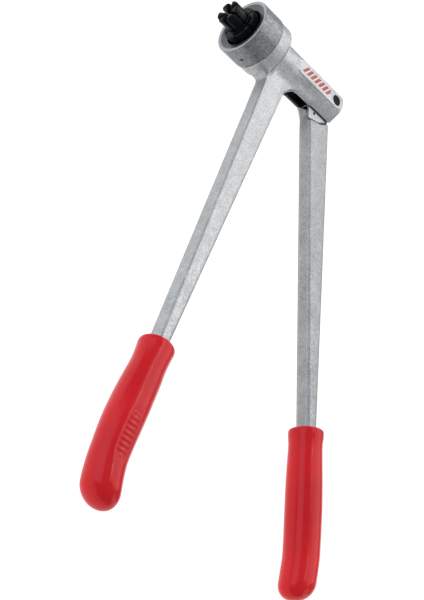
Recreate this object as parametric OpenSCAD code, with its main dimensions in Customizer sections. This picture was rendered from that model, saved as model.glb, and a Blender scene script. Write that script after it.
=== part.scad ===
// Lever-operated tube flaring and expanding tool with a six-segment expander head.
// +X runs along the head axis out of the nose, +Y towards the grips, +Z out of the side face.
// The origin lies on the head axis, in the plane where the end of the tube stops.

/* [Expander head] */
// Diameter of the closed tip that enters the tube
tip_d = 18.6; // [16:0.1:20]
// Length of the tip in front of the tube stop
tip_len = 13; // [10:0.5:16]
// Diameter of the collar that stops the tube
collar_d = 27.6; // [26:0.1:28]
// Width of the saw cut between two closed segments
kerf = 0.8; // [0.5:0.1:1.2]
// Forward stroke of the mandrel
stroke = 5.5; // [4:0.1:5.5]
// Radial growth per millimetre of stroke
cone_slope = 0.2; // [0.15:0.01:0.2]

/* [Cap and body] */
// Outer diameter of the screwed cap
cap_d = 45; // [44:0.5:48]
// Length of the cap skirt
cap_len = 19.3; // [18:0.1:20]
// Height of the tube stop in front of the cap rim
rim_drop = 4; // [3:0.1:4.4]
// Diameter of the neck and its two ears
neck_d = 29; // [28:0.5:30]
// Distance from the tube stop to the pivot pin
pivot_x = 99; // [97:0.5:101]
// Length of ear behind the pivot axis
ear_tail = 7.4; // [7:0.1:9]
// Width of the slot between the ears
slot_w = 7.9; // [7.4:0.1:8.2]
// Half the height of the raised side pad
pad_half = 6; // [5.5:0.1:6.2]
// Distance of the side pad's face from the middle plane
pad_z = 14.1; // [13.9:0.1:14.3]

/* [Handles] */
// Slant of the fixed handle, in millimetres of X per millimetre of Y
fixed_slant = 0.1259; // [0.1:0.001:0.14]
// Slant of the open lever, in millimetres of X per millimetre of Y
lever_slant = -0.2995; // [-0.31:0.001:-0.29]
// Angle the lever turns through from open to closed
lever_swing = 24; // [20:0.5:24]
// Width of the fixed handle at its root
fixed_w = 19.6; // [18:0.1:21]
// Width of the lever at its root
lever_w = 20.8; // [19:0.1:21]
// Width of both handles where they enter the grips
tang_w = 9.6; // [9:0.1:11]
// Thickness of both handles at the root
root_t = 11.6; // [10:0.1:12]
// Thickness of both handles at the grips
tang_t = 13.2; // [12:0.1:14]
// Length of the fixed handle's grip
fixed_grip_len = 123.5; // [115:0.5:130]
// Length of the lever's grip
lever_grip_len = 121; // [115:0.5:130]
// Largest radius of a grip
grip_r = 13.4; // [12.8:0.1:14]

/* [Hidden] */
$fn = 72;

// stations along the head axis, all measured from the tube stop
rim_x = -rim_drop;
seam_x = rim_x - cap_len;
dish_x = rim_x - 2.4;
wall_x = rim_x - 5.5;
flange_x = wall_x - 3.5;
tail_x = flange_x - 3.4;
washer_t = 1.4;
spigot_x = tail_x - washer_t - 0.2;
boss_x = seam_x - 12.7;
slot_x = -65;
shoulder_x = slot_x + 0.8;
ear_x = -pivot_x - ear_tail;

// radii about the head axis
tip_r = tip_d / 2;
collar_r = collar_d / 2;
spread = stroke * cone_slope;
mouth_r = collar_r + spread + 0.3;
flange_r = 18.3;
tail_r = 14.5;
ring_r = 1.2;
ring_x = flange_x - 1.8;
cap_r = cap_d / 2;
chamber_r = 19.9;
boss_r = 21.9;
boss_round = 2.5;
neck_r = neck_d / 2;
neck_fillet = 3;
bore_r = 8;
rear_bore_r = 6.4;
run_gap = 0.05;

// mandrel, return spring and roller
shaft_r = 6;
cone_end_r = 3.5;
cone_base_x = -5.5;
cone_end_x = cone_base_x + (shaft_r - cone_end_r) / cone_slope;
piston_x = shoulder_x + 0.1;
piston_len = 8;
bush_end_x = -40;
bush_flange_r = 9.8;
roller_r = 5.5;
roller_w = 6;
axle_r = 2;
fork_w = roller_w + 0.3;
roller_reach = 16.5;
roller_x = -pivot_x + roller_reach;
fork_end_x = roller_x - 3.5;
fork_chamfer = 0.8;
fork_gap = 0.8;
axle_half = 5.6;
cam_rate = stroke / lever_swing;
spring_wire = 1.2;
spring_mean_r = 7;
spring_turns = 5;

// pivot and tongue
pin_r = 4;
pin_half = 13.3;
pin_chamfer = 0.6;
bush_r = 5.5;
tongue_t = slot_w - 0.3;
cam_t = 3.6;
hub_r = 9.4;
cam_hub_r = 8.6;
rivet_r = 1.2;
slot_top = 10;
slot_open = 30;
slot_back_x = -120;
rear_bore_end_x = -90;
flat_turn = 41.1;
flat_r = 13.07;
flat_front_x = -64;
flat_run = 4;

// side pad, label and spanner holes
pad_front_x = -53;
label_front_x = -60;
label_back_x = -87;
label_half = 4.4;
label_depth = 0.3;
label_t = 0.35;
spanner_r = 1.1;
spanner_x = rim_x - 11.3;
spanner_z = 3;

// handles
fixed_root = [-45.5, 20];
lever_root = [-94.2, 16];
fixed_grip_y = 268.5;
lever_grip_y = 245.2;
tang_len = 100;
tang_step = 0.6;
lean_angle = 10;
root_chamfer = 0.5;
tang_chamfer = 2.2;

casting = [0.8, 0.8, 0.79];
black_steel = [0.1, 0.1, 0.11];
bright_steel = [0.62, 0.63, 0.65];
bronze = [0.7, 0.52, 0.25];
vinyl = [0.78, 0.08, 0.1];

// ---- shared shapes -------------------------------------------------------

// points of a circular arc in n steps
function arc(cx, cy, r, a0, a1, n) =
    [for (i = [0:n]) let (a = a0 + (a1 - a0) * i / n) [cx + r * cos(a), cy + r * sin(a)]];

// solid of revolution about the head axis from [radius, x] points
module turned(points) {
    rotate([0, 90, 0])
        rotate_extrude()
            polygon(points);
}

// cylinder along the head axis between two stations
module rod(x0, x1, r) {
    translate([min(x0, x1), 0, 0])
        rotate([0, 90, 0])
            cylinder(h = abs(x1 - x0), r = r);
}

// flat-sided wedge along local X whose half-height goes from h0 to h1, turned about X
module slab(len, h0, h1, turn) {
    rotate([turn, 0, 0])
        linear_extrude(60, center = true)
            polygon([[0, -h0], [len, -h1], [len, h1], [0, h0]]);
}

// tapering eight-sided bar along local X
module bar(len, w0, w1, t0, t1, c0, c1) {
    d0 = (w0 / 2 + t0 / 2 - c0) / sqrt(2);
    d1 = (w1 / 2 + t1 / 2 - c1) / sqrt(2);
    intersection() {
        slab(len, w0 / 2, w1 / 2, 0);
        slab(len, t0 / 2, t1 / 2, 90);
        slab(len, d0, d1, 45);
        slab(len, d0, d1, -45);
    }
}

// places children at a handle's root, with local X down the handle
module on_handle(root, slant, y) {
    translate([root[0] + slant * (y - root[1]), y, 0])
        rotate([0, 0, atan2(1, slant)])
            children();
}

// tapering arm and the straight tang inside the grip
module handle_bar(root, slant, w, grip_y) {
    arm = (grip_y - root[1]) * sqrt(1 + slant * slant);
    on_handle(root, slant, root[1])
        bar(arm, w, tang_w, root_t, tang_t, root_chamfer, tang_chamfer);
    on_handle(root, slant, grip_y)
        tang();
}

// straight end of a handle, a little slimmer than the arm it starts inside
module tang() {
    w = tang_w - tang_step;
    t = tang_t - tang_step;
    translate([-2, 0, 0])
        bar(tang_len, w, w, t, t, tang_chamfer, tang_chamfer);
}

// outline with two round ends, whose centres are at x0 and x1
module stadium(half, x0, x1) {
    translate([x0, 0])
        circle(half);
    translate([x1, 0])
        circle(half);
    translate([x0, -half])
        square([x1 - x0, 2 * half]);
}

module pad_outline() {
    stadium(pad_half, -pivot_x, pad_front_x - pad_half);
}

module label_outline() {
    stadium(label_half, label_back_x, label_front_x);
}

// ---- body group ----------------------------------------------------------

module boss_and_neck() {
    turned(concat(
        [[0, spigot_x], [chamber_r - 0.5, spigot_x], [chamber_r, spigot_x - 0.5], [chamber_r, seam_x]],
        [[boss_r, seam_x]],
        arc(boss_r - boss_round - 0.4, boss_x + boss_round, boss_round, 0, -80, 5),
        arc(neck_r + neck_fillet, boss_x - neck_fillet, neck_fillet, 90, 180, 5),
        arc(neck_r - 1.2, ear_x + 1.2, 1.2, 0, -90, 4),
        [[0, ear_x]]
    ));
}

// flats between each ear's side pad and the slot, which run out into the round neck
module ear_flats() {
    behind = ear_x - 1;
    front = flat_front_x + flat_run;
    clear = 2 * neck_r;
    for (side = [-1, 1])
        rotate([side * flat_turn, 0, 0])
            linear_extrude(2 * clear, center = true)
                polygon([
                    [behind, flat_r], [flat_front_x, flat_r],
                    [front, neck_r + 0.1], [front, clear], [behind, clear]
                ]);
}

// fillets where the fixed handle leaves the neck and the boss
module handle_root_web() {
    rear_r = 9;
    front_r = 5;
    rear_x = fixed_root[0] - fixed_w / 2 + 0.4;
    front_x = fixed_root[0] + fixed_w / 2 + 1;
    web_t = root_t - 1.2;
    translate([0, 0, -web_t / 2])
        linear_extrude(web_t)
            polygon(concat(
                [[front_x + front_r, 8], [rear_x - rear_r - 6, 8], [rear_x - rear_r - 6, neck_r - 0.5]],
                arc(rear_x - rear_r, neck_r - 0.5 + rear_r, rear_r, -90, 0, 6),
                [[rear_x + 1, 34], [front_x - 1, 34]],
                arc(front_x + front_r, boss_r - 0.5 + front_r, front_r, 180, 250, 5)
            ));
}

module body_casting() {
    color(casting)
    difference() {
        union() {
            difference() {
                union() {
                    boss_and_neck();
                    handle_bar(fixed_root, fixed_slant, fixed_w, fixed_grip_y);
                    handle_root_web();
                }
                ear_flats();
            }
            translate([0, 0, -pad_z])
                linear_extrude(2 * pad_z)
                    pad_outline();
        }
        rod(1, shoulder_x, bore_r);
        rod(shoulder_x + 1, rear_bore_end_x, rear_bore_r);
        // slot for the tongue, open on the handle side and behind, with a round front end
        translate([slot_back_x, -slot_top, -slot_w / 2])
            cube([slot_x - slot_w / 2 - slot_back_x, slot_top + slot_open, slot_w]);
        translate([slot_x - slot_w / 2, -slot_top, 0])
            rotate([-90, 0, 0])
                cylinder(h = slot_top + slot_open, r = slot_w / 2);
        translate([-pivot_x, 0, 0])
            cylinder(h = 3 * pin_half, r = pin_r, center = true);
        // label recess in the near side pad
        translate([0, 0, pad_z - label_depth])
            linear_extrude(1)
                label_outline();
        // the two pads are milled flat
        for (side = [-1, 1])
            translate([0, 0, side * (pad_z + 2)])
                linear_extrude(4, center = true)
                    pad_outline();
    }
}

module side_label() {
    color([0.93, 0.92, 0.92])
    translate([0, 0, pad_z - label_depth])
        linear_extrude(label_t)
            label_outline();
}

module head_cap() {
    color(casting)
    difference() {
        turned(concat(
            [[mouth_r, dish_x], [cap_r - 1.2, rim_x - 0.25], [cap_r - 0.9, rim_x]],
            arc(cap_r - 0.8, rim_x - 0.8, 0.8, 80, 0, 4),
            [[cap_r, seam_x + 0.4], [cap_r - 0.4, seam_x], [chamber_r, seam_x]],
            [[chamber_r, wall_x], [mouth_r, wall_x]]
        ));
        // spanner holes, one on each side
        for (side = [-1, 1])
            translate([spanner_x, side * cap_r, -spanner_z * side])
                rotate([90, 0, 0])
                    cylinder(h = 3, r = spanner_r, center = true);
    }
}

module thrust_washer() {
    color(bright_steel)
    difference() {
        rod(spigot_x, spigot_x + washer_t, chamber_r - 0.4);
        rod(0, -50, bush_flange_r + 0.2);
    }
}

module guide_bush() {
    color(bronze)
    difference() {
        union() {
            rod(spigot_x, bush_end_x, bore_r);
            rod(spigot_x + washer_t, spigot_x, bush_flange_r);
        }
        rod(0, -50, shaft_r + run_gap);
    }
}

module pivot_pin() {
    color(black_steel)
    translate([-pivot_x, 0, -pin_half])
        union() {
            cylinder(h = 2 * pin_half - pin_chamfer, r = pin_r);
            translate([0, 0, 2 * pin_half - pin_chamfer])
                cylinder(h = pin_chamfer, r1 = pin_r, r2 = pin_r - 0.5);
        }
}

// ---- expander segments and their ring -------------------------------------

module segment_blank() {
    turned([
        [0, tip_len], [tip_r - 1.6, tip_len], [tip_r, tip_len - 1.3], [tip_r, 0],
        [collar_r - 1, 0], [collar_r, -1], [collar_r, wall_x - 0.3], [flange_r, wall_x - 0.3],
        [flange_r, flange_x], [tail_r, flange_x], [tail_r, tail_x], [0, tail_x]
    ]);
}

// mandrel outline grown by the spread, as it stands with the head fully open
module spread_mandrel() {
    grow = spread + run_gap;
    front = tip_len + 5;
    turned([
        [0, front], [shaft_r - (front - cone_base_x) * cone_slope + grow, front],
        [shaft_r + grow, cone_base_x], [shaft_r + grow, -40], [0, -40]
    ]);
}

module segment(index) {
    reach = 40;
    half = (reach - kerf) * tan(30);
    color(black_steel)
    rotate([60 * index + 30, 0, 0])
        difference() {
            intersection() {
                segment_blank();
                translate([-reach, 0, 0])
                    rotate([90, 0, 90])
                        linear_extrude(2 * reach)
                            polygon([[kerf, 0], [reach, -half], [reach, half]]);
            }
            translate([0, -spread, 0])
                spread_mandrel();
            translate([ring_x, 0, 0])
                rotate([0, 90, 0])
                    rotate_extrude()
                        translate([tail_r, 0])
                            circle(ring_r + 0.05, $fn = 24);
        }
}

module segment_1() { segment(0); }
module segment_2() { segment(1); }
module segment_3() { segment(2); }
module segment_4() { segment(3); }
module segment_5() { segment(4); }
module segment_6() { segment(5); }

module segment_ring() {
    color([0.06, 0.06, 0.06])
    translate([ring_x, 0, 0])
        rotate([0, 90, 0])
            rotate_extrude()
                translate([tail_r, 0])
                    circle(ring_r, $fn = 24);
}

// ---- mandrel group --------------------------------------------------------

module mandrel() {
    color(bright_steel)
    difference() {
        union() {
            turned([
                [0, cone_end_x], [cone_end_r - 0.4, cone_end_x], [cone_end_r + 0.1, cone_end_x - 0.5],
                [shaft_r, cone_base_x], [shaft_r, fork_end_x + fork_chamfer],
                [shaft_r - fork_chamfer, fork_end_x], [0, fork_end_x]
            ]);
            rod(piston_x, piston_x + piston_len, bore_r - run_gap);
        }
        translate([fork_end_x - 1, -bore_r, -fork_w / 2])
            cube([roller_x + roller_r + fork_gap - fork_end_x + 1, 2 * bore_r, fork_w]);
        translate([roller_x, 0, 0])
            cylinder(h = 4 * shaft_r, r = axle_r, center = true);
    }
}

module spring_washer() {
    color(bright_steel)
    difference() {
        rod(piston_x + piston_len, piston_x + piston_len + 1, bore_r - 0.2);
        rod(0, -80, shaft_r);
    }
}

// round wire wound about the head axis between the washer and the bush
module return_spring() {
    x0 = piston_x + piston_len + 1.1 + spring_wire / 2;
    x1 = bush_end_x - 0.1 - spring_wire / 2;
    sides = 8;
    steps = 18 * spring_turns;
    function ring(i) = let (t = i / steps, a = 360 * spring_turns * t)
        [for (k = [0:sides - 1]) let (b = 360 * k / sides, r = spring_mean_r + spring_wire / 2 * cos(b))
            [x0 + (x1 - x0) * t + spring_wire / 2 * sin(b), r * cos(a), r * sin(a)]];
    points = [for (i = [0:steps]) each ring(i)];
    walls = [for (i = [0:steps - 1]) for (k = [0:sides - 1]) let (n = (k + 1) % sides)
        [i * sides + k, i * sides + n, (i + 1) * sides + n, (i + 1) * sides + k]];
    first = [for (k = [sides - 1:-1:0]) k];
    last = [for (k = [0:sides - 1]) steps * sides + k];
    color(bright_steel)
        polyhedron(points, concat([first], walls, [last]));
}

module roller_axle() {
    color(black_steel)
    translate([roller_x, 0, 0])
        cylinder(h = 2 * axle_half, r = axle_r, center = true);
}

module cam_roller() {
    color(bright_steel)
    translate([roller_x, 0, 0])
        difference() {
            cylinder(h = roller_w, r = roller_r, center = true);
            cylinder(h = roller_w + 1, r = axle_r + run_gap, center = true);
        }
}

// ---- lever group ----------------------------------------------------------

// cam surface for a given turn: the pitch curve grows evenly, and the roller's radius is taken off
function cam_point(turn) =
    let (r = roller_reach + cam_rate * turn, dr = cam_rate * 180 / PI, size = sqrt(r * r + dr * dr))
    let (radial = r - (roller_r + 0.02) * r / size, along = (roller_r + 0.02) * dr / size)
    [radial * cos(turn) - along * sin(turn), radial * sin(turn) + along * cos(turn)];

module cam_outline() {
    circle(cam_hub_r);
    polygon(concat(
        [for (turn = [-14:2:lever_swing + 8]) cam_point(turn)],
        [[15.4, 14.6], [16.8, 16.2], [14.5, 20.2], [6, 20.2], [-4, 7], [0, 0]]
    ));
}

module tongue_outline() {
    intersection() {
        circle(hub_r);
        translate([-7.2, -20])
            square([40, 40]);
    }
    polygon([
        [9, -2], [11.2, 3], [12.2, 6], [13, 9], [13.2, 13.2], [18.2, 15.6], [17.4, 17.2], [14.6, 20.6],
        [12.9, 24], [7, 42], [-12.6, 40], [-5.8, 15], [-7.2, 5]
    ]);
}

module cam_plate() {
    color(black_steel)
    translate([-pivot_x, 0, 0])
        difference() {
            linear_extrude(cam_t, center = true)
                cam_outline();
            cylinder(h = 2 * cam_t, r = bush_r, center = true);
            rivet_places()
                cylinder(h = 2 * cam_t, r = rivet_r, center = true);
        }
}

module rivet_places() {
    for (place = [[5.2, 10.2], [9.2, 16.4]])
        translate([place[0], place[1], 0])
            children();
}

module cam_rivets() {
    color(bright_steel)
    translate([-pivot_x, 0, 0])
        rivet_places()
            cylinder(h = tongue_t, r = rivet_r, center = true);
}

module pivot_bush() {
    color(bronze)
    translate([-pivot_x, 0, 0])
        difference() {
            cylinder(h = tongue_t, r = bush_r, center = true);
            cylinder(h = tongue_t + 1, r = pin_r + run_gap, center = true);
        }
}

// side view of what is taken off the lever's cheeks, so that its tongue passes between the ears
module cheek_outline() {
    polygon([[-70, 25], [-86.4, 23.5], [-98.5, 21.3], [-107.5, 15], [-116, 0], [-70, 0]]);
}

module lever() {
    cheek = 10;
    color(casting)
    difference() {
        union() {
            translate([-pivot_x, 0, 0])
                linear_extrude(tongue_t, center = true)
                    tongue_outline();
            difference() {
                handle_bar(lever_root, lever_slant, lever_w, lever_grip_y);
                // the full thickness starts below the ears
                for (side = [-1, 1])
                    translate([0, 0, side * (tongue_t / 2 + cheek / 2)])
                        linear_extrude(cheek, center = true)
                            cheek_outline();
            }
        }
        translate([-pivot_x, 0, 0])
            linear_extrude(cam_t, center = true)
                cam_outline();
        translate([-pivot_x, 0, 0])
            cylinder(h = 20, r = bush_r, center = true);
        translate([-pivot_x, 0, 0])
            rivet_places()
                cylinder(h = 20, r = rivet_r, center = true);
    }
}

// ---- grips ------------------------------------------------------------------

// vinyl sleeve with a collar, a waist, a swell and a rounded end that leans to one side
module grip(lean, len) {
    bend = len - 35;
    neck = grip_r - 1.4;
    end_r = grip_r - 0.4;
    knob = len - bend - end_r;
    difference() {
        union() {
            turned([
                [0, 0], [neck - 0.2, 0], [neck + 0.5, 0.8], [neck + 0.6, 4], [neck, 12], [neck, 18],
                [grip_r - 0.5, 42], [grip_r, 56], [grip_r - 0.3, 76], [grip_r - 0.9, bend + 4], [0, bend + 6]
            ]);
            translate([bend, 0, 0])
                rotate([0, 0, lean * lean_angle])
                    union() {
                        turned([
                            [0, -6], [grip_r - 1.6, -6], [grip_r - 0.6, 2],
                            [end_r, 12], [end_r, knob], [0, knob]
                        ]);
                        translate([knob, 0, 0])
                            sphere(end_r);
                    }
        }
        tang();
    }
}

module fixed_grip() {
    color(vinyl)
    on_handle(fixed_root, fixed_slant, fixed_grip_y)
        grip(1, fixed_grip_len);
}

module lever_grip() {
    color(vinyl)
    on_handle(lever_root, lever_slant, lever_grip_y)
        grip(-1, lever_grip_len);
}

body_casting();
head_cap();
segment_1();
segment_2();
segment_3();
segment_4();
segment_5();
segment_6();
segment_ring();
thrust_washer();
mandrel();
guide_bush();
return_spring();
spring_washer();
cam_roller();
roller_axle();
lever();
cam_plate();
cam_rivets();
pivot_bush();
pivot_pin();
fixed_grip();
lever_grip();
side_label();
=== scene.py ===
"""Looks of the tube expander: cast body and lever, screwed cap, black steel head and red sleeve grips.

Lengths are millimetres in the row frame until a mesh is made: +X out of the nose, +Y towards the grips,
+Z out of the labelled side. Cast and machined pieces are signed distance fields with real fillets, turned
into meshes by a small surface-net routine. The grips are lofted along a curved centre line.
"""

import math

import bpy
import numpy as np
from mathutils import Matrix, Vector


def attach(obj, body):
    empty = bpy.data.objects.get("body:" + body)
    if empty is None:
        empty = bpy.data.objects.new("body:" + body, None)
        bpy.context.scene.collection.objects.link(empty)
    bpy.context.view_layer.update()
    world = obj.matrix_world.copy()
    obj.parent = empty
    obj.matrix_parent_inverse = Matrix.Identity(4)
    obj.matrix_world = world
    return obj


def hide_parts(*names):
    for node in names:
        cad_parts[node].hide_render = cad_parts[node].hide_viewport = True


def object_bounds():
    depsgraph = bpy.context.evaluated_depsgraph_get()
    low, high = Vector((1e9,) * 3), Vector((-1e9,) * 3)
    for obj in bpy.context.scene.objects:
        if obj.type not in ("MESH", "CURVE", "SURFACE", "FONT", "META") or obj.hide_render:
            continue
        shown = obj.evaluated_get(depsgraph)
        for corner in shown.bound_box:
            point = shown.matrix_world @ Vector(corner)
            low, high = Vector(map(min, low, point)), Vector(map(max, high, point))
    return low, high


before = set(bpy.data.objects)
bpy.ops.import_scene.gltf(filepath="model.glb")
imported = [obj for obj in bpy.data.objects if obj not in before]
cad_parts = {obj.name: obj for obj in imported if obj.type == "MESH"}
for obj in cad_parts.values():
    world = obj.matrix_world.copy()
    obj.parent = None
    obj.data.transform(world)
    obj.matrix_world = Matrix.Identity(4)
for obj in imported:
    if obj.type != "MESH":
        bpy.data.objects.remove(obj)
cad_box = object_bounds()
MM = 0.001

# ---- sizes, as in the CAD source ----------------------------------------------------------------

RIM_X = -4.0
SEAM_X = -23.3
SPIGOT_X = -18.0
WALL_X = -9.5
FLANGE_X = -13.0
TAIL_X = -16.4
BOSS_X = -36.0
SLOT_X = -65.0
MOUTH_X = -60.8
PIVOT_X = -99.0
EAR_X = -106.4
PAD_FRONT_X = -53.0

TIP_R = 9.3
TIP_LEN = 13.0
COLLAR_R = 13.8
FLANGE_R = 18.3
TAIL_R = 14.5
MOUTH_R = 15.2
CAP_R = 22.5
CHAMBER_R = 19.9
BOSS_R = 21.9
NECK_R = 14.5
BORE_R = 8.0
REAR_BORE_R = 6.4
PIN_R = 4.0
SPANNER_R = 1.1
SPANNER_X = RIM_X - 11.3
SPANNER_Z = 3.0
PAD_HALF = 6.0
PAD_Z = 14.1
SLOT_HALF = 3.95
TONGUE_HALF = 3.8
CAM_HALF = 1.8
CAM_HUB_R = 8.6
HUB_R = 9.4
HUB_BACK = 7.2
BUSH_R = 5.5
SPREAD = 1.1
FLAT_TURN = math.radians(41.1)
FLAT_R = 13.07
FLAT_FRONT_X = -64.0
ARCH_R = 16.0
WEB_Y = 13.0
BOSS_SIDE_Y = 20.5
WEB_END_Y = 50.0
SEAM_SIDE_Y = 34.0

FIXED = {"root": (-45.5, 20.0), "slant": 0.1259, "width": 19.6, "grip_y": 268.5, "root_bevel": 3.0}
LEVER = {"root": (-94.2, 16.0), "slant": -0.2995, "width": 20.8, "grip_y": 245.2, "root_bevel": 0.0}
TANG_W = 9.6
ROOT_T = 11.6
TANG_T = 13.2
TANG_LEN = 14.0


# ---- distance fields ----------------------------------------------------------------------------

def length(a, b):
    return np.sqrt(a * a + b * b)


def join(a, b, r):
    """Union of two fields with a fillet of radius r in the corner."""
    return np.maximum(r, np.minimum(a, b)) - length(np.maximum(r - a, 0), np.maximum(r - b, 0))


def common(a, b, r):
    """Intersection of two fields with its edge rounded to radius r."""
    if r <= 0:
        return np.maximum(a, b)
    return np.minimum(-r, np.maximum(a, b)) + length(np.maximum(r + a, 0), np.maximum(r + b, 0))


def cut(a, b, r):
    """a without b, with the new edge rounded."""
    return common(a, -b, r)


def drum(rho, x, radius, x0, x1, r0, r1):
    """Solid cylinder about the head axis from x0 to x1, its ends rounded to r0 and r1."""
    d = common(rho - radius, x0 - x, r0)
    return common(d, x - x1, r1)


def polygon_field(px, py, corners):
    """Signed distance to a closed outline, negative inside."""
    best = np.full(np.broadcast(px, py).shape, 1e9)
    inside = np.zeros(best.shape, bool)
    for (ax, ay), (bx, by) in zip(corners, corners[1:] + corners[:1]):
        ex, ey = bx - ax, by - ay
        t = np.clip(((px - ax) * ex + (py - ay) * ey) / (ex * ex + ey * ey), 0, 1)
        best = np.minimum(best, length(px - ax - t * ex, py - ay - t * ey))
        crosses = (ay > py) != (by > py)
        at = ax + (py - ay) * ex / (ey if ey else 1e-9)
        inside ^= crosses & (px < at)
    return np.where(inside, -best, best)


def stadium_field(x, y, x0, x1, half):
    """Outline with round ends, its straight sides along X; x0 and x1 are the ends' centres."""
    return length(x - np.clip(x, x0, x1), y) - half


def arm_field(x, y, z, arm, end_y):
    """Tapering chamfered bar of a handle up to end_y, with the places along and across it."""
    (rx, ry), slant = arm["root"], arm["slant"]
    n = math.hypot(1, slant)
    along = ((x - rx) * slant + (y - ry)) / n
    across = ((x - rx) - slant * (y - ry)) / n
    share = np.clip(along / ((arm["grip_y"] - ry) * n), 0, 1.1)
    half_w = arm["width"] / 2 + (TANG_W - arm["width"]) / 2 * share
    half_t = ROOT_T / 2 + (TANG_T - ROOT_T) / 2 * share
    bevel = 0.6 + 1.6 * share + arm["root_bevel"] * np.exp(-np.clip(along, 0, None) / 14)
    side = np.abs(across) - half_w
    face = np.abs(z) - half_t
    # the chamfer leans towards the broad faces
    edge = 0.6 * (np.abs(across) - half_w + bevel) + 0.8 * (np.abs(z) - half_t)
    bar = common(common(side, face, 0.5), edge, 0.8)
    return common(bar, y - end_y, 0), along, across


def surface_net(field, low, step):
    """Vertices and quads of the zero surface of a sampled field."""
    inside = field < 0
    count = sum(inside[i:inside.shape[0] - 1 + i, j:inside.shape[1] - 1 + j, k:inside.shape[2] - 1 + k]
                .astype(np.uint8) for i in (0, 1) for j in (0, 1) for k in (0, 1))
    active = (count > 0) & (count < 8)
    cells = np.argwhere(active)
    index = np.full(active.shape, -1, np.int64)
    index[active] = np.arange(len(cells))
    offsets = [(i, j, k) for i in (0, 1) for j in (0, 1) for k in (0, 1)]
    value = {o: field[cells[:, 0] + o[0], cells[:, 1] + o[1], cells[:, 2] + o[2]] for o in offsets}
    total = np.zeros((len(cells), 3))
    hits = np.zeros(len(cells))
    for a in offsets:
        for axis in range(3):
            if a[axis]:
                continue
            b = tuple(1 if i == axis else v for i, v in enumerate(a))
            va, vb = value[a], value[b]
            crossed = (va < 0) != (vb < 0)
            t = np.where(crossed, va / np.where(crossed, va - vb, 1), 0)
            point = np.array(a) + t[:, None] * (np.array(b) - np.array(a))
            total += np.where(crossed[:, None], point, 0)
            hits += crossed
    points = np.array(low) + step * (cells + total / hits[:, None])
    quads = []
    for axis in range(3):
        u, v = [(1, 2), (2, 0), (0, 1)][axis]
        first = np.take(inside, range(inside.shape[axis] - 1), axis)
        second = np.take(inside, range(1, inside.shape[axis]), axis)
        edges = np.argwhere(first != second)
        edges = edges[(edges[:, u] > 0) & (edges[:, v] > 0)]
        edges = edges[(edges[:, u] < index.shape[u]) & (edges[:, v] < index.shape[v])]
        corners = []
        for du, dv in ((1, 1), (0, 1), (0, 0), (1, 0)):
            c = edges.copy()
            c[:, u] -= du
            c[:, v] -= dv
            corners.append(index[c[:, 0], c[:, 1], c[:, 2]])
        quad = np.stack(corners, 1)
        outward = inside[edges[:, 0], edges[:, 1], edges[:, 2]]
        quads.append(np.where(outward[:, None], quad, quad[:, ::-1]))
    return points, np.concatenate(quads)


def mesh_object(name, points, faces):
    """Smooth-shaded Blender object from millimetre points and lists of corners."""
    mesh = bpy.data.meshes.new(name)
    mesh.from_pydata((points * MM).tolist(), [], faces)
    mesh.validate()
    mesh.shade_smooth()
    obj = bpy.data.objects.new(name, mesh)
    bpy.context.scene.collection.objects.link(obj)
    return obj


def settled(points, field, step):
    """Net points moved onto the true surface, along the field's slope."""
    reach = 0.1 * step
    for _ in range(2):
        x, y, z = points.T
        slope = np.stack([
            field(x + reach, y, z) - field(x - reach, y, z),
            field(x, y + reach, z) - field(x, y - reach, z),
            field(x, y, z + reach) - field(x, y, z - reach)], -1) / (2 * reach)
        move = field(x, y, z) / (np.sum(slope * slope, -1) + 1e-6)
        points = points - np.clip(move, -0.4 * step, 0.4 * step)[:, None] * slope
    return points


def field_object(name, low, high, step, field):
    """Mesh of a field sampled in a box."""
    axes = [np.arange(a - 2 * step, b + 3 * step, step) for a, b in zip(low, high)]
    x, y, z = axes[0][:, None, None], axes[1][None, :, None], axes[2][None, None, :]
    sampled = np.broadcast_to(field(x, y, z), tuple(len(a) for a in axes))
    points, quads = surface_net(np.ascontiguousarray(sampled), [a[0] for a in axes], step)
    return mesh_object(name, settled(points, field, step), quads.tolist())


# ---- cast body ----------------------------------------------------------------------------------

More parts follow.
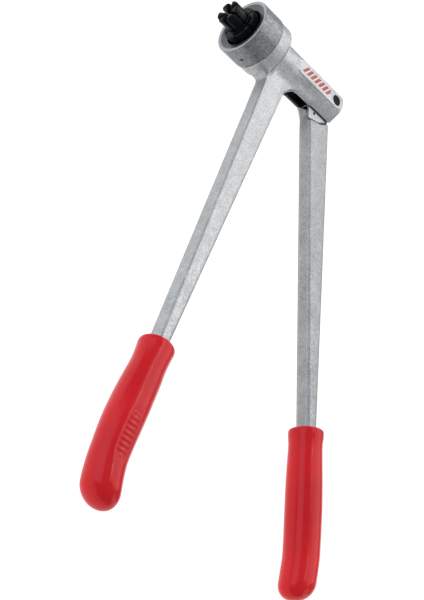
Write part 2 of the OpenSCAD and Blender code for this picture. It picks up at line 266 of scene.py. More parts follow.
def body_field(x, y, z):
    rho = length(y, z)
    boss = drum(rho, x, BOSS_R + 0.02 * (x - SEAM_X), BOSS_X, SEAM_X - 0.4, 3.2, 0.5)
    neck = drum(rho, x, NECK_R, EAR_X, BOSS_X + 4, 1.3, 0)
    # flats between the side pads and the slot, which run out into the round neck
    flat = y * math.cos(FLAT_TURN) + np.abs(z) * math.sin(FLAT_TURN) - FLAT_R
    neck = common(neck, flat - np.clip(x - FLAT_FRONT_X, 0, 30) * 0.35, 0.5)
    head = join(boss, neck, 4.5)
    # handle root: a wide arch onto the neck and a small one onto the boss, then a fillet all round
    arm, along, across = arm_field(x, y, z, FIXED, FIXED["grip_y"] + TANG_LEN)
    bar = np.abs(across) - (FIXED["width"] / 2 - 0.02 * np.clip(along, 0, 100))
    arch = join(bar, common(y - WEB_Y, -80 - x, 0), ARCH_R)
    outline = join(arch, common(y - BOSS_SIDE_Y, -x - 35, 0), 4.5)
    web = common(outline, np.abs(z) - (ROOT_T / 2 - 0.15), 1.2)
    web = common(web, x + 24.0, 0)
    handle = np.minimum(arm, common(web, y - WEB_END_Y, 0))
    handle = common(handle, 9 - y, 0)
    # the root's fillet stops at the seam, so that the cap can be unscrewed
    beyond_seam = np.maximum(SEAM_X - 0.03 - x, y - SEAM_SIDE_Y)
    shape = cut(join(head, handle, 5.5), beyond_seam, 0.4)
    # flat side pads with round ends
    stadium = stadium_field(x, y, PIVOT_X, PAD_FRONT_X - PAD_HALF, PAD_HALF)
    pad = common(stadium, np.abs(z) - PAD_Z, 0.35)
    milled = common(stadium, PAD_Z - np.abs(z), 0)
    shape = cut(join(shape, pad, 0.3), milled, 0)
    # slot for the tongue, bores and pin hole
    slot = common(np.abs(z) - SLOT_HALF, x - SLOT_X, SLOT_HALF)
    slot = common(slot, -10 - y, 0)
    mouth = common(common(np.abs(z) - SLOT_HALF, x - MOUTH_X, SLOT_HALF), BORE_R + 1.4 - y, 0)
    shape = cut(shape, np.minimum(slot, mouth), 0.45)
    shape = cut(shape, drum(rho, x, BORE_R, SLOT_X + 0.8, 20, 0, 0), 0)
    shape = cut(shape, drum(rho, x, REAR_BORE_R, -90, -60, 0, 0), 0)
    hole = length(x - PIVOT_X, y) - PIN_R
    shape = cut(shape, hole, 0.35)
    spigot = drum(rho, x, CHAMBER_R - 0.1, SEAM_X - 2, SPIGOT_X, 0, 0.5)
    return np.minimum(shape, cut(spigot, rho - BORE_R, 0))


def make_body():
    low = (EAR_X - 1, -BOSS_R - 0.5, -BOSS_R - 0.5)
    high = (-8, FIXED["grip_y"] + TANG_LEN, BOSS_R + 0.5)
    return field_object("body_shell", low, high, 0.5, body_field)


# ---- lever --------------------------------------------------------------------------------------

# side views about the pivot: the far cheek flares forward, the near one stops short of the cam's nose
TONGUE_REAR = [
    (7, 42), (-12.6, 40), (-5.8, 15), (-7.2, 5), (9, -2), (11.2, 3), (12.2, 6), (13, 9), (13.2, 13.2)]
FAR_FRONT = [(18.6, 15.2), (20.4, 17.0), (18.2, 19.3), (16.2, 21.6), (14.4, 25), (12.6, 30)]
NEAR_FRONT = [(15.0, 13.8), (12.9, 20.7), (12.9, 24)]
STEP_LEFT = (-85.4, 25.4)
STEP_MIDDLE = (-97.4, 22.0)
STEP_RIGHT = (-106.0, 15.4)
STEP = [(-70, 27), STEP_LEFT, STEP_MIDDLE, STEP_RIGHT, (-116, 0), (-70, 0)]
CAM_LIFT = 5.5
CAM_TURN = 24
CAM_START = 16.5
ROLLER_R = 5.52


def cam_point(turn):
    """Point of the cam's working edge for a turn in degrees, about the pivot."""
    rate = CAM_LIFT / CAM_TURN
    reach, growth = CAM_START + rate * turn, rate * 180 / math.pi
    size = math.hypot(reach, growth)
    radial, sideways = reach - ROLLER_R * reach / size, ROLLER_R * growth / size
    a = math.radians(turn)
    return radial * math.cos(a) - sideways * math.sin(a), radial * math.sin(a) + sideways * math.cos(a)


CAM_NOSE = [(16.0, 13.6), (21.0, 13.9), (20.5, 16.8), (6, 17.0), (-4, 7), (0, 0)]
CAM = [cam_point(turn) for turn in range(-14, 33, 2)] + CAM_NOSE


def lever_field(x, y, z):
    px, py = x - PIVOT_X, y
    hub = common(length(px, py) - HUB_R, -HUB_BACK - px, 0.5)
    far = polygon_field(px, py, TONGUE_REAR + FAR_FRONT)
    near = polygon_field(px, py, TONGUE_REAR + NEAR_FRONT)
    # the front slants from the near cheek's outline to the far one
    share = np.clip((TONGUE_HALF - z) / (TONGUE_HALF + CAM_HALF), 0, 1)
    tongue = np.minimum(hub, near + (far - near) * share)
    tongue = common(tongue, np.abs(z) - TONGUE_HALF, 0.3)
    arm, _, _ = arm_field(x, y, z, LEVER, LEVER["grip_y"] + TANG_LEN)
    arm = common(arm, 2 - y, 0)
    step = polygon_field(x, y, STEP)
    cheeks = common(step, TONGUE_HALF - np.abs(z), 0)
    # the cheeks come off after the join, so that the tongue's faces stay flat and clear of the ears
    shape = cut(join(tongue, arm, 0.6), cheeks, 0.4)
    cam = np.minimum(polygon_field(px, py, CAM), length(px, py) - CAM_HUB_R)
    shape = cut(shape, common(cam - 0.05, np.abs(z) - CAM_HALF - 0.03, 0), 0.2)
    return cut(shape, length(px, py) - BUSH_R, 0)


def make_lever():
    low = (-172, -10, -8)
    high = (-78, LEVER["grip_y"] + TANG_LEN, 8)
    return field_object("lever_shell", low, high, 0.5, lever_field)


# ---- screwed cap --------------------------------------------------------------------------------

def cap_field(x, y, z):
    rho = length(y, z)
    shell = drum(rho, x, CAP_R, SEAM_X, RIM_X, 0.5, 0.9)
    dish = (x - RIM_X) + (CAP_R - 1.3 - rho) * 0.33
    shell = common(shell, dish, 0.25)
    shell = cut(shell, drum(rho, x, CHAMBER_R, SEAM_X - 5, WALL_X, 0, 0.3), 0.3)
    shell = cut(shell, rho - MOUTH_R, 0.35)
    for side in (-1, 1):
        hole = length(x - SPANNER_X, z + SPANNER_Z * side) - SPANNER_R
        hole = common(hole, CAP_R - 2.2 - y * side, 0)
        shell = cut(shell, hole, 0.15)
    return shell


def make_cap():
    low = (SEAM_X, -CAP_R, -CAP_R)
    high = (RIM_X, CAP_R, CAP_R)
    return field_object("cap_shell", low, high, 0.33, cap_field)


# ---- expander segments --------------------------------------------------------------------------

KERF_HALF = 0.4


def segment_field(x, y, z):
    """One segment with its middle on +Y."""
    rho = length(y, z)
    gap = KERF_HALF + 0.9 * np.clip((x - 5) / (TIP_LEN - 5), 0, 1) ** 2
    angle = math.radians(30)
    sides = np.abs(z) * math.cos(angle) - y * math.sin(angle) + gap
    tip = common(common(sides, x - TIP_LEN, 2.0), rho - TIP_R, 1.0)
    collar = drum(rho, x, COLLAR_R, WALL_X - 0.3, 0, 0.1, 1.0)
    collar = common(collar, sides, 0.6)
    flange = common(drum(rho, x, FLANGE_R, FLANGE_X, WALL_X - 0.3, 0.2, 0.2), sides, 0.2)
    tail = common(drum(rho, x, TAIL_R, TAIL_X, FLANGE_X + 0.5, 0.3, 0), sides, 0.2)
    shape = join(tip, collar, 0.5)
    shape = common(np.minimum(np.minimum(shape, flange), tail), TAIL_X - x, 0)
    inner = length(y + SPREAD, z)
    cone = (inner - (6.0 + SPREAD + 0.05 - 0.2 * np.clip(x + 5.5, 0, 30))) * 0.98
    shape = cut(shape, cone, 0.3)
    ring = length(x - (FLANGE_X - 1.8), rho - TAIL_R) - 1.25
    return cut(shape, ring, 0)


def make_segments():
    """Six turned copies of one segment mesh."""
    low = (TAIL_X, 0, -11)
    high = (TIP_LEN, FLANGE_R, 11)
    first = field_object("segment_shell_1", low, high, 0.22, segment_field)
    made = [first]
    for i in range(1, 6):
        obj = bpy.data.objects.new(f"segment_shell_{i + 1}", first.data.copy())
        bpy.context.scene.collection.objects.link(obj)
        made.append(obj)
    for i, obj in enumerate(made):
        obj.data.transform(Matrix.Rotation(math.radians(60 * i + 30), 4, "X"))
    return made


# ---- grips --------------------------------------------------------------------------------------

def curve_through(knots, at):
    """Smooth interpolation through (place, value) knots with a cubic of matched slopes."""
    px = np.array([k[0] for k in knots], float)
    py = np.array([k[1] for k in knots], float)
    slope = np.gradient(py, px)
    i = np.clip(np.searchsorted(px, at) - 1, 0, len(px) - 2)
    w = px[i + 1] - px[i]
    t = np.clip((at - px[i]) / w, 0, 1)
    return ((2 * t**3 - 3 * t**2 + 1) * py[i] + (t**3 - 2 * t**2 + t) * w * slope[i]
            + (3 * t**2 - 2 * t**3) * py[i + 1] + (t**3 - t**2) * w * slope[i + 1])


def grip_object(name, arm, end, radii, offsets, panel):
    """Sleeve of length end lofted along a bent centre line, with rolled mouth, dome and maybe a panel."""
    lip, dome, mouth, around = 2.0, 12.5, 5.2, 144
    # stations: flat top face, rolled edge, long side, dome
    places = [(0.6, mouth), (0.15, mouth + 0.6), (0.0, mouth + 1.2)]
    r0 = float(curve_through(radii, np.array(lip)))
    places += [(0.0, r) for r in np.linspace(mouth + 1.8, r0 - lip, 6)]
    places += [(lip - lip * math.cos(a), r0 - lip + lip * math.sin(a)) for a in np.linspace(0.2, 1.45, 6)]
    body_u = np.arange(lip, end - dome, 0.45)
    places += list(zip(body_u, curve_through(radii, body_u)))
    r1 = float(curve_through(radii, np.array(end - dome)))
    turns = np.linspace(0, 1.555, 40)
    places += [(end - dome + dome * math.sin(a), r1 * math.cos(a) ** 0.9) for a in turns]
    u = np.array([p[0] for p in places])
    r = np.array([p[1] for p in places])
    shift = curve_through(offsets, u)
    phi = np.linspace(0, 2 * math.pi, around, endpoint=False)
    uu, pp = np.meshgrid(u, phi, indexing="ij")
    rr = np.repeat(r[:, None], around, 1)
    if panel:
        # a shallow recess on the +Z side with plain bars across it
        s = (uu - panel["middle"]) / (panel["length"] / 2)
        t = (pp - panel["angle"]) * rr / (panel["width"] / 2)
        away = (np.abs(s) ** 4 + np.abs(t) ** 4) ** 0.25
        recess = 1 / (1 + np.exp((away - 1) * 22))
        wave = np.cos((uu - panel["middle"]) * 2 * math.pi / panel["pitch"] + t * 1.1)
        bars = np.clip(wave * 1.6, -1, 1)
        inner = 1 / (1 + np.exp((away - 0.84) * 26))
        rr = rr - panel["depth"] * recess + panel["depth"] * inner * (0.5 + 0.5 * bars)
    (rx, ry), slant = arm["root"], arm["slant"]
    n = math.hypot(1, slant)
    base = np.array([rx + slant * (arm["grip_y"] - ry), arm["grip_y"]])
    along = np.array([slant, 1]) / n
    across = np.array([1, -slant]) / n
    v = shift[:, None] + rr * np.cos(pp)
    px = base[0] + uu * along[0] + v * across[0]
    py = base[1] + uu * along[1] + v * across[1]
    pz = rr * np.sin(pp)
    points = np.stack([px, py, pz], -1).reshape(-1, 3)
    rows = len(u)
    i = np.arange(rows - 1)[:, None] * around
    j = np.arange(around)[None, :]
    k = (j + 1) % around
    quads = np.stack([i + j, i + k, i + around + k, i + around + j], -1).reshape(-1, 4)
    faces = quads[:, ::-1].tolist() + [[(rows - 1) * around + j for j in range(around)][::-1]]
    return mesh_object(name, points, faces)


def make_grips():
    fixed = grip_object(
        "fixed_sleeve", FIXED, 122.6,
        [(0, 12.3), (3, 12.6), (7, 12.3), (17, 12.0), (28, 12.6), (40, 13.1), (52, 13.4), (64, 13.4),
         (76, 13.1), (88, 12.8), (98, 13.0), (107, 13.3), (112, 13.3)],
        [(0, 0), (20, 0.1), (45, 0.9), (65, 1.2), (80, 0.9), (92, 0.1), (102, -1.6), (112, -4.0),
         (124, -7.5)],
        {"middle": 76, "length": 38, "width": 10, "angle": math.radians(88), "pitch": 4.0, "depth": 0.45})
    lever = grip_object(
        "lever_sleeve", LEVER, 120.0,
        [(0, 12.3), (3, 12.5), (10, 11.95), (20, 12.15), (30, 12.5), (42, 12.8), (55, 12.95), (70, 12.9),
         (85, 12.8), (98, 12.9), (108, 12.9)],
        [(0, 0), (20, 0.5), (40, 0.7), (60, 0.9), (78, 1.4), (89, 2.0), (100, 3.8), (110, 5.8),
         (121, 8.4)],
        None)
    return fixed, lever


# ---- label --------------------------------------------------------------------------------------

LABEL_FRONT_X = -60.0
LABEL_BACK_X = -87.0
LABEL_HALF = 4.4


def label_field(x, y, z):
    plate = stadium_field(x, y, LABEL_BACK_X, LABEL_FRONT_X, LABEL_HALF - 0.05)
    return common(common(plate, z - PAD_Z - 0.04, 0.1), PAD_Z - 0.35 - z, 0)


def make_label():
    low = (LABEL_BACK_X - LABEL_HALF, -LABEL_HALF, PAD_Z - 0.4)
    high = (LABEL_FRONT_X + LABEL_HALF, LABEL_HALF, PAD_Z + 0.1)
    return field_object("label_plate", low, high, 0.12, label_field)


# ---- materials ----------------------------------------------------------------------------------

class Nodes:
    """Short way to write a node tree."""

    def __init__(self, name):
        self.material = bpy.data.materials.new(name)
        self.material.use_nodes = True
        self.tree = self.material.node_tree
        self.shader = self.tree.nodes["Principled BSDF"]
        self.place = self.tree.nodes.new("ShaderNodeTexCoord").outputs["Object"]

    def set(self, **values):
        for key, value in values.items():
            self.shader.inputs[key.replace("_", " ")].default_value = value

    def link(self, source, target):
        self.tree.links.new(source, target)
        return target

    def axes(self):
        """The three object coordinates, in metres."""
        node = self.tree.nodes.new("ShaderNodeSeparateXYZ")
        self.link(self.place, node.inputs["Vector"])
        return node.outputs["X"], node.outputs["Y"], node.outputs["Z"]

    def stretched(self, scale):
        node = self.tree.nodes.new("ShaderNodeMapping")
        node.inputs["Scale"].default_value = scale
        self.link(self.place, node.inputs["Vector"])
        return node.outputs["Vector"]

    def noise(self, scale, detail, roughness, place=None):
        node = self.tree.nodes.new("ShaderNodeTexNoise")
        node.inputs["Scale"].default_value = scale
        node.inputs["Detail"].default_value = detail
        node.inputs["Roughness"].default_value = roughness
        self.link(place or self.place, node.inputs["Vector"])
        return node.outputs["Fac"]

    def ramp(self, source, stops):
        node = self.tree.nodes.new("ShaderNodeValToRGB")
        ramp = node.color_ramp
        while len(ramp.elements) < len(stops):
            ramp.elements.new(0.5)
        for element, (at, colour) in zip(ramp.elements, stops):
            element.position = at
            value = colour if isinstance(colour, tuple) else (colour, colour, colour)
            element.color = (*value, 1)
        self.link(source, node.inputs["Fac"])
        return node.outputs["Color"]

    def math(self, operation, a, b=0.0):
        node = self.tree.nodes.new("ShaderNodeMath")
        node.operation = operation
        for socket, value in zip(node.inputs, (a, b)):
            if isinstance(value, (int, float)):
                socket.default_value = value
            else:
                self.link(value, socket)
        return node.outputs["Value"]

    def mix(self, factor, a, b, blend="MIX"):
        node = self.tree.nodes.new("ShaderNodeMix")
        node.data_type = "RGBA"
        node.blend_type = blend
        for name, value in (("Factor", factor), ("A", a), ("B", b)):
            socket = [s for s in node.inputs if s.name == name and s.enabled][0]
            if isinstance(value, (int, float)):
                socket.default_value = value
            elif isinstance(value, tuple):
                socket.default_value = (*value, 1)
            else:
                self.link(value, socket)
        return [s for s in node.outputs if s.enabled][0]

    def edge(self, low, high):
        """1 on convex edges and 0 elsewhere, from the mesh's pointiness."""
        node = self.tree.nodes.new("ShaderNodeNewGeometry")
        return self.ramp(node.outputs["Pointiness"], [(low, 0.0), (high, 1.0)])

    def corner_shade(self, reach):
        """1 deep in a corner of the piece itself and 0 on open faces."""
        node = self.tree.nodes.new("ShaderNodeAmbientOcclusion")
        node.samples = 8
        node.only_local = True
        node.inputs["Distance"].default_value = reach
        return self.ramp(node.outputs["AO"], [(0.5, 1.0), (0.9, 0.0)])

    def bump(self, height, strength, distance):
        node = self.tree.nodes.new("ShaderNodeBump")
        node.inputs["Strength"].default_value = strength
        node.inputs["Distance"].default_value = distance
        self.link(height, node.inputs["Height"])
        self.link(node.outputs["Normal"], self.shader.inputs["Normal"])


def below_line(m, x, y, a, b):
    """Height of a point over the line through a and b: metres, negative on the pivot's side."""
    slope = (b[1] - a[1]) / (b[0] - a[0])
    start = a[1] - slope * a[0]
    size = math.hypot(1, slope)
    over = m.math("SUBTRACT", y, m.math("MULTIPLY", x, slope))
    return m.math("DIVIDE", m.math("SUBTRACT", over, start * MM), size)


# where the painted shade sits on the slot and on the tongue, in millimetres
FAR_SHADE_FRONT_X = -57.5
FAR_SHADE_Y = 8.0
EAR_SHADE_Y = 15.1
FRONT_SHADE_X = -87.5
FRONT_SHADE_Y = 12.8
STEP_SHADE = 2.3
# near-black colours of the painted shade in the slot and on the tongue
SLOT_SHADE = (0.012, 0.012, 0.013)
TONGUE_SHADE = (0.014, 0.014, 0.015)


def scaled(tone, share):
    return tuple(min(1.0, share * c) for c in tone)


def cast_metal(name, tone, shaded_slot=False, tongue_tone_and_shade=False):
    """Shot-blasted aluminium casting: mottled grey, fine pits, brighter edges that are part rubbing wear and
    part painted highlight, painted shade in its own corners.
    """
    m = Nodes(name)
    mottle = m.ramp(m.noise(850, 4, 0.7), [(0.34, scaled(tone, 0.66)), (0.64, scaled(tone, 1.10))])
    cloud = m.ramp(m.noise(90, 5, 0.65), [(0.32, 0.76), (0.68, 1.0)])
    colour = m.mix(1.0, mottle, cloud, "MULTIPLY")
    speck = m.ramp(m.noise(1100, 2, 0.5), [(0.28, 0.45), (0.37, 1.0)])
    colour = m.mix(0.7, colour, m.mix(1.0, colour, speck, "MULTIPLY"))
    # brighter convex edges: part rubbing wear, part painted highlight
    edge_wear_and_highlight = m.edge(0.515, 0.56)
    colour = m.mix(m.math("MULTIPLY", edge_wear_and_highlight, 0.6), colour, scaled(tone, 1.25))
    # painted shade: near black deep in the casting's own corners, steps and seams
    colour = m.mix(m.math("MULTIPLY", m.corner_shade(0.0022), 0.8), colour, (0.03, 0.03, 0.032))
    if shaded_slot:
        # painted shade: the slot's walls and the far ear's underside darkened near black, with a ragged edge
        x, y, z = m.axes()
        inner = m.math("LESS_THAN", m.math("ABSOLUTE", z), (SLOT_HALF + 0.12) * MM)
        behind = m.math("LESS_THAN", x, (MOUTH_X + 0.4) * MM)
        above = m.math("LESS_THAN", y, (NECK_R - 0.7) * MM)
        slot_shade = m.math("MULTIPLY", m.math("MULTIPLY", inner, behind), above)
        ragged = m.math("ADD", y, m.math("MULTIPLY", m.noise(260, 3, 0.6), 0.006))
        far_ear_shade = m.math("MULTIPLY", m.math("LESS_THAN", z, -SLOT_HALF * MM),
                       m.math("GREATER_THAN", ragged, FAR_SHADE_Y * MM))
        far_ear_shade = m.math("MULTIPLY", far_ear_shade, m.math("LESS_THAN", x, FAR_SHADE_FRONT_X * MM))
        slot_shade = m.math("MAXIMUM", slot_shade, far_ear_shade)
        colour = m.mix(m.math("MULTIPLY", slot_shade, 0.93), colour, SLOT_SHADE)
    if tongue_tone_and_shade:
        # brighter faces, and painted shade: along the near ear's edge, at the foot of the cheeks' step and
        # all over the tongue in the slot ahead of the pivot
        x, y, z = m.axes()
        depth = m.math("ABSOLUTE", z)
        face = m.math("MULTIPLY", m.math("LESS_THAN", depth, (TONGUE_HALF + 0.15) * MM),
                      m.math("GREATER_THAN", depth, (TONGUE_HALF - 0.3) * MM))
        under_ear = m.math("LESS_THAN", y, EAR_SHADE_Y * MM)
        over = m.math("MAXIMUM", below_line(m, x, y, STEP_LEFT, STEP_MIDDLE),
                      below_line(m, x, y, STEP_MIDDLE, STEP_RIGHT))
        foot = m.math("MULTIPLY", m.math("GREATER_THAN", over, -STEP_SHADE * MM),
                      m.math("LESS_THAN", over, 0.0003))
        tongue_shade = m.math("MULTIPLY", face, m.math("MAXIMUM", under_ear, foot))
        front = m.math("MULTIPLY", m.math("LESS_THAN", y, FRONT_SHADE_Y * MM),
                       m.math("GREATER_THAN", x, FRONT_SHADE_X * MM))
        tongue_shade = m.math("MAXIMUM", tongue_shade, front)
        colour = m.mix(m.math("MULTIPLY", face, 0.45), colour, (0.60, 0.60, 0.60))
        colour = m.mix(m.math("MULTIPLY", tongue_shade, 0.9), colour, TONGUE_SHADE)
    m.link(colour, m.shader.inputs["Base Color"])
    rough = m.ramp(m.noise(700, 4, 0.6), [(0.3, 0.34), (0.7, 0.52)])
    m.link(rough, m.shader.inputs["Roughness"])
    m.set(Metallic=0.85, IOR=1.5)
    pits = m.math("ADD", m.noise(900, 4, 0.65), m.math("MULTIPLY", m.noise(2600, 2, 0.5), 0.3))
    m.bump(pits, 0.36, 0.0006)
    return m.material


def turned_metal(name, tone):
    """Turned and lightly blasted cap: faint rings about the head axis, painted shade on the dish, a painted
    highlight along the rim.
    """
    m = Nodes(name)
    base = m.ramp(m.noise(560, 5, 0.7), [(0.34, scaled(tone, 0.50)), (0.66, scaled(tone, 1.15))])
    streak = m.ramp(m.noise(1.0, 3, 0.6, m.stretched((2400, 60, 60))), [(0.3, 0.90), (0.7, 1.0)])
    colour = m.mix(1.0, base, streak, "MULTIPLY")
    x, y, z = m.axes()
    radius = m.math("SQRT", m.math("ADD", m.math("MULTIPLY", y, y), m.math("MULTIPLY", z, z)))
    # painted shade: the dished front face darkened
    dish = m.math("LESS_THAN", radius, (CAP_R - 1.6) * MM)
    colour = m.mix(m.math("MULTIPLY", dish, 0.75), colour, scaled(tone, 0.30))
    # painted highlight: a bright band at the front edge of the rim
    rim = m.math("GREATER_THAN", x, (RIM_X - 0.45) * MM)
    colour = m.mix(m.math("MULTIPLY", rim, 0.55), colour, scaled(tone, 1.9))
    m.link(colour, m.shader.inputs["Base Color"])
    rough = m.ramp(m.noise(300, 4, 0.6), [(0.3, 0.34), (0.7, 0.48)])
    m.link(rough, m.shader.inputs["Roughness"])
    m.set(Metallic=0.85, IOR=1.5)
    rings = m.math("MULTIPLY", m.noise(1.0, 2, 0.5, m.stretched((2400, 40, 40))), 0.4)
    m.bump(m.math("ADD", m.noise(700, 3, 0.6), rings), 0.25, 0.0004)
    return m.material


def black_oxide(name, edge_highlights, rough_low, rough_high, shine):
    """Blackened steel, with a painted highlight in patches along the edges of the finely meshed pieces."""
    m = Nodes(name)
    base = m.ramp(m.noise(260, 4, 0.6), [(0.3, (0.002, 0.0022, 0.0026)), (0.75, (0.006, 0.0064, 0.0072))])
    if edge_highlights:
        # painted highlight: light grey in patches on the convex edges, standing in for glints
        patchy = m.ramp(m.noise(500, 3, 0.6), [(0.35, 0.2), (0.7, 1.0)])
        edge_highlight = m.math("MULTIPLY", m.edge(0.56, 0.64), patchy)
        base = m.mix(m.math("MULTIPLY", edge_highlight, 0.7), base, (0.20, 0.215, 0.23))
    m.link(base, m.shader.inputs["Base Color"])
    m.link(m.ramp(m.noise(350, 3, 0.6), [(0.3, rough_low), (0.7, rough_high)]), m.shader.inputs["Roughness"])
    m.set(Metallic=0.0, IOR=1.45, Specular_IOR_Level=shine)
    m.bump(m.noise(1500, 3, 0.6), 0.12, 0.0003)
    return m.material


def ground_metal(name, tone, low, high):
    """Ground steel or bronze with fine lengthwise marks."""
    m = Nodes(name)
    base = m.ramp(m.noise(90, 4, 0.6), [(0.3, scaled(tone, 0.82)), (0.7, tone)])
    m.link(base, m.shader.inputs["Base Color"])
    m.link(m.ramp(m.noise(1.0, 3, 0.6, m.stretched((90, 1800, 1800))), [(0.3, low), (0.7, high)]),
           m.shader.inputs["Roughness"])
    m.set(Metallic=1.0)
    m.bump(m.noise(1.0, 3, 0.6, m.stretched((90, 2200, 2200))), 0.15, 0.0003)
    return m.material


def rubber(name):
    """Dull black rubber."""
    m = Nodes(name)
    m.link(m.ramp(m.noise(300, 4, 0.6), [(0.3, 0.012), (0.7, 0.03)]), m.shader.inputs["Base Color"])
    m.link(m.ramp(m.noise(500, 3, 0.6), [(0.3, 0.6), (0.7, 0.8)]), m.shader.inputs["Roughness"])
    m.bump(m.noise(1200, 3, 0.6), 0.2, 0.0003)
    return m.material


def vinyl(name):
    """Dipped vinyl: deep red with a soft gloss, slight flow marks and handling wear."""
    m = Nodes(name)
    red, deep = (0.72, 0.012, 0.018), (0.60, 0.008, 0.013)
    base = m.ramp(m.noise(24, 3, 0.5), [(0.3, deep), (0.7, red)])
    fine = m.ramp(m.noise(420, 4, 0.6), [(0.3, 0.93), (0.7, 1.0)])
    colour = m.mix(1.0, base, fine, "MULTIPLY")
    m.link(colour, m.shader.inputs["Base Color"])
    rough = m.ramp(m.noise(60, 5, 0.65), [(0.3, 0.17), (0.7, 0.27)])
    m.link(rough, m.shader.inputs["Roughness"])
    m.set(IOR=1.45, Specular_IOR_Level=0.26)
    height = m.math("ADD", m.noise(38, 3, 0.5), m.math("MULTIPLY", m.noise(900, 3, 0.6), 0.10))
    m.bump(height, 0.07, 0.0012)
    return m.material


def printed_label(name):
    """White plate with a generic red mark: a row of slanted bars."""
    m = Nodes(name)
    x, y, _ = m.axes()
    inside = m.math("LESS_THAN", m.math("ABSOLUTE", y), 0.0033)
    # millimetres from the mark's middle, sheared so that the bars lean
    slanted = m.math("ADD", m.math("MULTIPLY", m.math("ADD", x, 0.0756), 1000.0),
                     m.math("MULTIPLY", y, -700.0))
    stripe = m.math("LESS_THAN", m.math("PINGPONG", slanted, 2.25), 1.45)
    span = m.math("LESS_THAN", m.math("ABSOLUTE", slanted), 15.2)
    mark = m.math("MULTIPLY", m.math("MULTIPLY", inside, stripe), span)
    white = m.ramp(m.noise(200, 3, 0.5), [(0.3, (0.60, 0.59, 0.58)), (0.7, (0.68, 0.67, 0.66))])
    ink = m.ramp(m.noise(600, 3, 0.5), [(0.3, (0.36, 0.006, 0.010)), (0.7, (0.44, 0.010, 0.015))])
    m.link(m.mix(mark, white, ink), m.shader.inputs["Base Color"])
    m.link(m.ramp(m.noise(500, 3, 0.6), [(0.3, 0.28), (0.7, 0.40)]), m.shader.inputs["Roughness"])
    height = m.math("ADD", m.math("MULTIPLY", mark, 0.5), m.math("MULTIPLY", m.noise(900, 2, 0.5), 0.2))
    m.bump(height, 0.3, 0.0001)
    return m.material


def pale_floor(name):
    """Matt paper that also glows, so that the ground stays white."""
    m = Nodes(name)
    m.link(m.ramp(m.noise(6, 3, 0.5), [(0.3, 0.23), (0.7, 0.25)]), m.shader.inputs["Base Color"])
    m.link(m.ramp(m.noise(30, 3, 0.5), [(0.3, 0.75), (0.7, 0.85)]), m.shader.inputs["Roughness"])
    m.set(Specular_IOR_Level=0.2, Emission_Color=(1, 1, 1, 1), Emission_Strength=0.92)
    return m.material


def wear(obj, material):
    """Give an object one material."""
    obj.data.materials.clear()
    obj.data.materials.append(material)


# ---- put the pieces together --------------------------------------------------------------------

lever_casting = cast_metal("cast_aluminium", (0.42, 0.424, 0.427), tongue_tone_and_shade=True)
body_casting = cast_metal("cast_aluminium_body", (0.54, 0.545, 0.55), shaded_slot=True)
cap_metal = turned_metal("turned_aluminium", (0.28, 0.29, 0.298))
black = black_oxide("black_oxide", True, 0.14, 0.26, 0.12)
plain_black = black_oxide("black_oxide_plain", False, 0.50, 0.65, 0.15)
bright = ground_metal("ground_steel", (0.56, 0.565, 0.58), 0.2, 0.34)
wire = ground_metal("spring_wire", (0.42, 0.42, 0.44), 0.28, 0.4)
bronze = ground_metal("bronze", (0.62, 0.42, 0.18), 0.25, 0.4)
ring_rubber = rubber("ring_rubber")
red = vinyl("red_vinyl")
label_print = printed_label("label_print")

body = make_body()
wear(body, body_casting)
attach(body, "body")
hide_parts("body_casting")

lever = make_lever()
wear(lever, lever_casting)
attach(lever, "lever")
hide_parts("lever")

cap = make_cap()
wear(cap, cap_metal)
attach(cap, "body")
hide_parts("head_cap")

for number, piece in enumerate(make_segments(), 1):
    wear(piece, black)
    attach(piece, f"segment_{number}")
    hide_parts(f"segment_{number}")

for piece, group, node in zip(make_grips(), ("body", "lever"), ("fixed_grip", "lever_grip")):
    wear(piece, red)
    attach(piece, group)
    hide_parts(node)

label = make_label()
wear(label, label_print)
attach(label, "body")
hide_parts("side_label")

for node, material in {
    "thrust_washer": bright, "mandrel": bright, "guide_bush": bronze, "return_spring": wire,
    "spring_washer": bright, "cam_roller": bright, "roller_axle": plain_black, "cam_plate": plain_black,
    "cam_rivets": bright, "pivot_bush": bronze, "pivot_pin": plain_black, "segment_ring": ring_rubber,
}.items():
    wear(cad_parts[node], material)


# ---- floor, light and camera --------------------------------------------------------------------

def make_floor():
    """A wide flat round sheet just under the tool."""
    rings, spokes, radius = 24, 64, 4200.0
    middle_x, middle_y = -60.0, 180.0
    z = cad_box[0].z / MM - 0.1
    points = [(middle_x, middle_y, z)]
    for i in range(1, rings + 1):
        r = radius * (i / rings) ** 1.6
        for j in range(spokes):
            a = 2 * math.pi * j / spokes
            points.append((middle_x + r * math.cos(a), middle_y + r * math.sin(a), z))
    faces = [(0, 1 + j, 1 + (j + 1) % spokes) for j in range(spokes)]
    for i in range(rings - 1):
        a, b = 1 + i * spokes, 1 + (i + 1) * spokes
        faces += [(a + j, b + j, b + (j + 1) % spokes, a + (j + 1) % spokes) for j in range(spokes)]
    mesh = bpy.data.meshes.new("floor")
    mesh.from_pydata([tuple(c * MM for c in p) for p in points], [], faces)
    floor = bpy.data.objects.new("floor", mesh)
    bpy.context.scene.collection.objects.link(floor)
    floor.data.materials.append(pale_floor("floor_paper"))


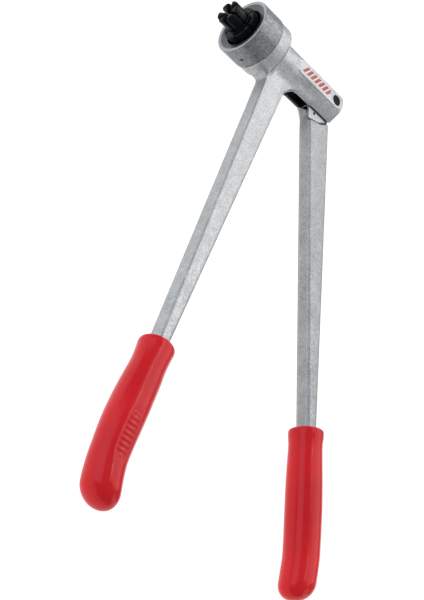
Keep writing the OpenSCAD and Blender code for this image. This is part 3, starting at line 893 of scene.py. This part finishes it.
def area_light(name, place, target, size, power, colour=(1, 1, 1)):
    data = bpy.data.lights.new(name, "AREA")
    data.shape = "RECTANGLE"
    data.size, data.size_y = size
    data.energy = power
    data.color = colour
    light = bpy.data.objects.new(name, data)
    bpy.context.scene.collection.objects.link(light)
    light.location = place
    light.rotation_mode = "QUATERNION"
    light.rotation_quaternion = (Vector(target) - Vector(place)).to_track_quat("-Z", "Y")


def make_world():
    world = bpy.data.worlds.new("studio")
    world.use_nodes = True
    background = world.node_tree.nodes["Background"]
    background.inputs["Strength"].default_value = 0.5
    tree = world.node_tree
    place = tree.nodes.new("ShaderNodeTexCoord").outputs["Generated"]
    split = tree.nodes.new("ShaderNodeSeparateXYZ")
    tree.links.new(place, split.inputs["Vector"])
    ramp = tree.nodes.new("ShaderNodeValToRGB")
    ramp.color_ramp.elements[0].color = (0.44, 0.50, 0.56, 1)
    ramp.color_ramp.elements[1].color = (1.0, 1.0, 1.0, 1)
    tree.links.new(split.outputs["Z"], ramp.inputs["Fac"])
    tree.links.new(ramp.outputs["Color"], background.inputs["Color"])
    bpy.context.scene.world = world


def make_camera():
    data = bpy.data.cameras.new("camera")
    data.sensor_fit = "VERTICAL"
    data.sensor_height = 24.0
    data.sensor_width = 24.0
    data.lens = 72.0
    data.clip_start, data.clip_end = 0.01, 50.0
    camera = bpy.data.objects.new("camera", data)
    bpy.context.scene.collection.objects.link(camera)
    right = Vector((-0.63620, -0.23468, 0.73496))
    up = Vector((0.53980, -0.81602, 0.20671))
    back = right.cross(up)
    turn = Matrix((right, up, back)).transposed().to_4x4()
    camera.matrix_world = Matrix.Translation(Vector((612.719, 843.972, 774.076)) * MM) @ turn
    bpy.context.scene.camera = camera


make_floor()
make_world()
centre = (-0.05, 0.16, 0.0)
area_light("key", (-0.75, -0.5, 1.15), centre, (1.5, 1.5), 10.5)
area_light("front_fill", (1.2, 0.1, 0.35), centre, (1.5, 1.2), 8.5, (0.68, 0.85, 1.0))
area_light("rim", (-1.2, 0.9, 0.5), centre, (0.6, 1.4), 3.0)
area_light("glint", (-0.85, -1.1, 0.6), (0.0, 0.0, 0.0), (0.12, 0.8), 1.2)
area_light("streak", (0.05, -0.55, 1.1), centre, (0.10, 1.2), 2.6)
make_camera()
bpy.context.scene.view_settings.view_transform = "Standard"
